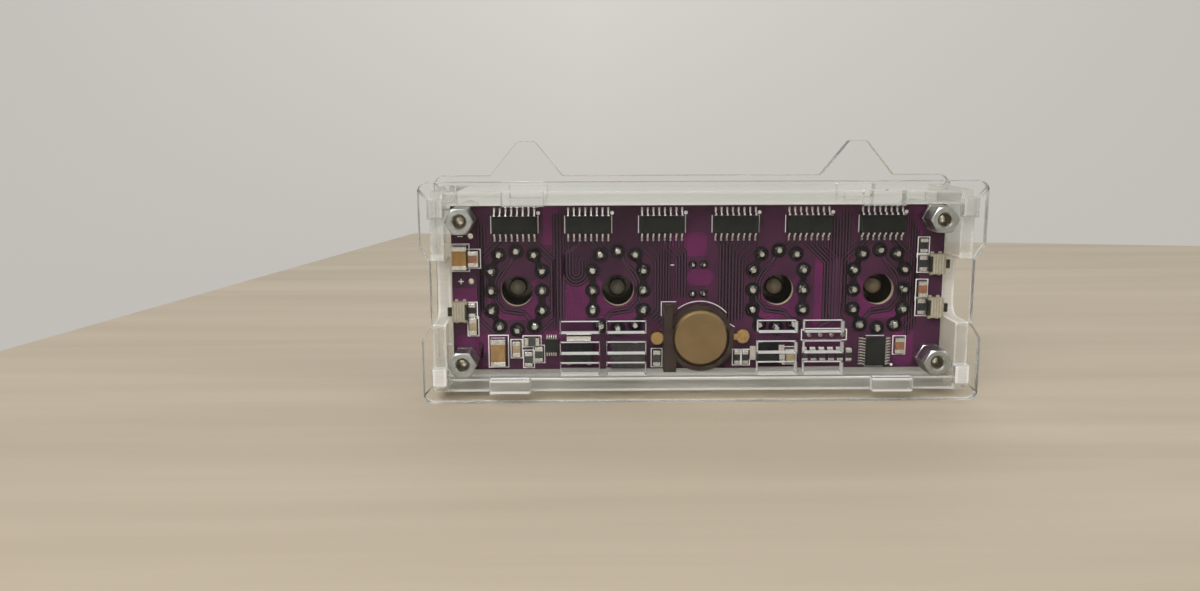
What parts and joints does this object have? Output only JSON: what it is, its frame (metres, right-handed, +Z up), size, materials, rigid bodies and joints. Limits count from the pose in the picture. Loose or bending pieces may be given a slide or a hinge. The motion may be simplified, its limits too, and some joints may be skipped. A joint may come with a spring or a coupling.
{
  "type": "nixie tube clock",
  "caption": "Digital clock with a row of numeric glow-discharge tubes on one circuit board, in a clear laser-cut case with push buttons at its ends.",
  "frame": {"origin": "middle of the footprint, on the surface that the clock lies on, with the clock upside down as in the picture", "axes": "+X along the panels, +Y from the back panel to the digits, +Z up; turned 180 degrees about +Y the clock stands on its two feet"},
  "size_m": [0.1212, 0.0366, 0.056],
  "materials": {
    "clear_acrylic": "clear, polished faces and frosted cut edges",
    "solder_mask": "purple solder mask over fine tracks",
    "solder": "bright solder",
    "tube_glass": "clear blown glass",
    "electrode_metal": "dull nickel",
    "pin_metal": "tinned",
    "lamp_glass": "clear glass",
    "chip_plastic": "moulded black, tinned leads",
    "ferrite": "dark ferrite",
    "tantalum_case": "amber moulding",
    "ceramic": "fired ceramic",
    "holder_plastic": "dark moulding",
    "contact_metal": "gold-plated spring metal",
    "cell_steel": "stainless steel",
    "switch_plastic": "beige moulding",
    "plunger_plastic": "dark olive moulding",
    "plated_steel": "zinc or nickel plated"
  },
  "bodies": {
    "clock": {"back_panel": "clear_acrylic", "front_panel": "clear_acrylic", "top_plate": "clear_acrylic", "bottom_plate": "clear_acrylic", "left_plate": "clear_acrylic", "right_plate": "clear_acrylic", "circuit_board": "solder_mask", "solder_joints": "solder", "tube_glass_1": "tube_glass", "tube_glass_2": "tube_glass", "tube_glass_3": "tube_glass", "tube_glass_4": "tube_glass", "cathode_stack_1": "electrode_metal", "cathode_stack_2": "electrode_metal", "cathode_stack_3": "electrode_metal", "cathode_stack_4": "electrode_metal", "anode_mesh_1": "electrode_metal", "anode_mesh_2": "electrode_metal", "anode_mesh_3": "electrode_metal", "anode_mesh_4": "electrode_metal", "tube_pins_1": "pin_metal", "tube_pins_2": "pin_metal", "tube_pins_3": "pin_metal", "tube_pins_4": "pin_metal", "colon_lamp_leads": "pin_metal", "colon_lamp_upper": "lamp_glass", "colon_lamp_lower": "lamp_glass", "driver_ic_1": "chip_plastic", "driver_ic_2": "chip_plastic", "driver_ic_3": "chip_plastic", "driver_ic_4": "chip_plastic", "driver_ic_5": "chip_plastic", "driver_ic_6": "chip_plastic", "microcontroller": "chip_plastic", "boost_controller": "chip_plastic", "power_transistor": "chip_plastic", "rectifier_diode": "chip_plastic", "chip_resistors": "chip_plastic", "power_inductor": "ferrite", "filter_capacitor": "tantalum_case", "input_capacitor": "tantalum_case", "ceramic_capacitors": "ceramic", "cell_holder": "holder_plastic", "cell_contacts": "contact_metal", "coin_cell": "cell_steel", "set_switch": "switch_plastic", "up_switch": "switch_plastic", "down_switch": "switch_plastic", "front_screws": "plated_steel", "front_standoffs": "plated_steel", "board_nuts": "plated_steel", "rear_standoffs": "plated_steel"},
    "set_button": {"set_button": "plunger_plastic"},
    "up_button": {"up_button": "plunger_plastic"},
    "down_button": {"down_button": "plunger_plastic"}
  },
  "joints": [
    {"name": "set_press", "type": "slide", "parent": "clock", "child": "set_button", "axis": [1, 0, 0], "range_m": [0, 0.00025], "stiffness_N_per_m": 2000},
    {"name": "up_press", "type": "slide", "parent": "clock", "child": "up_button", "axis": [-1, 0, 0], "range_m": [0, 0.00025], "stiffness_N_per_m": 2000},
    {"name": "down_press", "type": "slide", "parent": "clock", "child": "down_button", "axis": [-1, 0, 0], "range_m": [0, 0.00025], "stiffness_N_per_m": 2000}
  ]
}
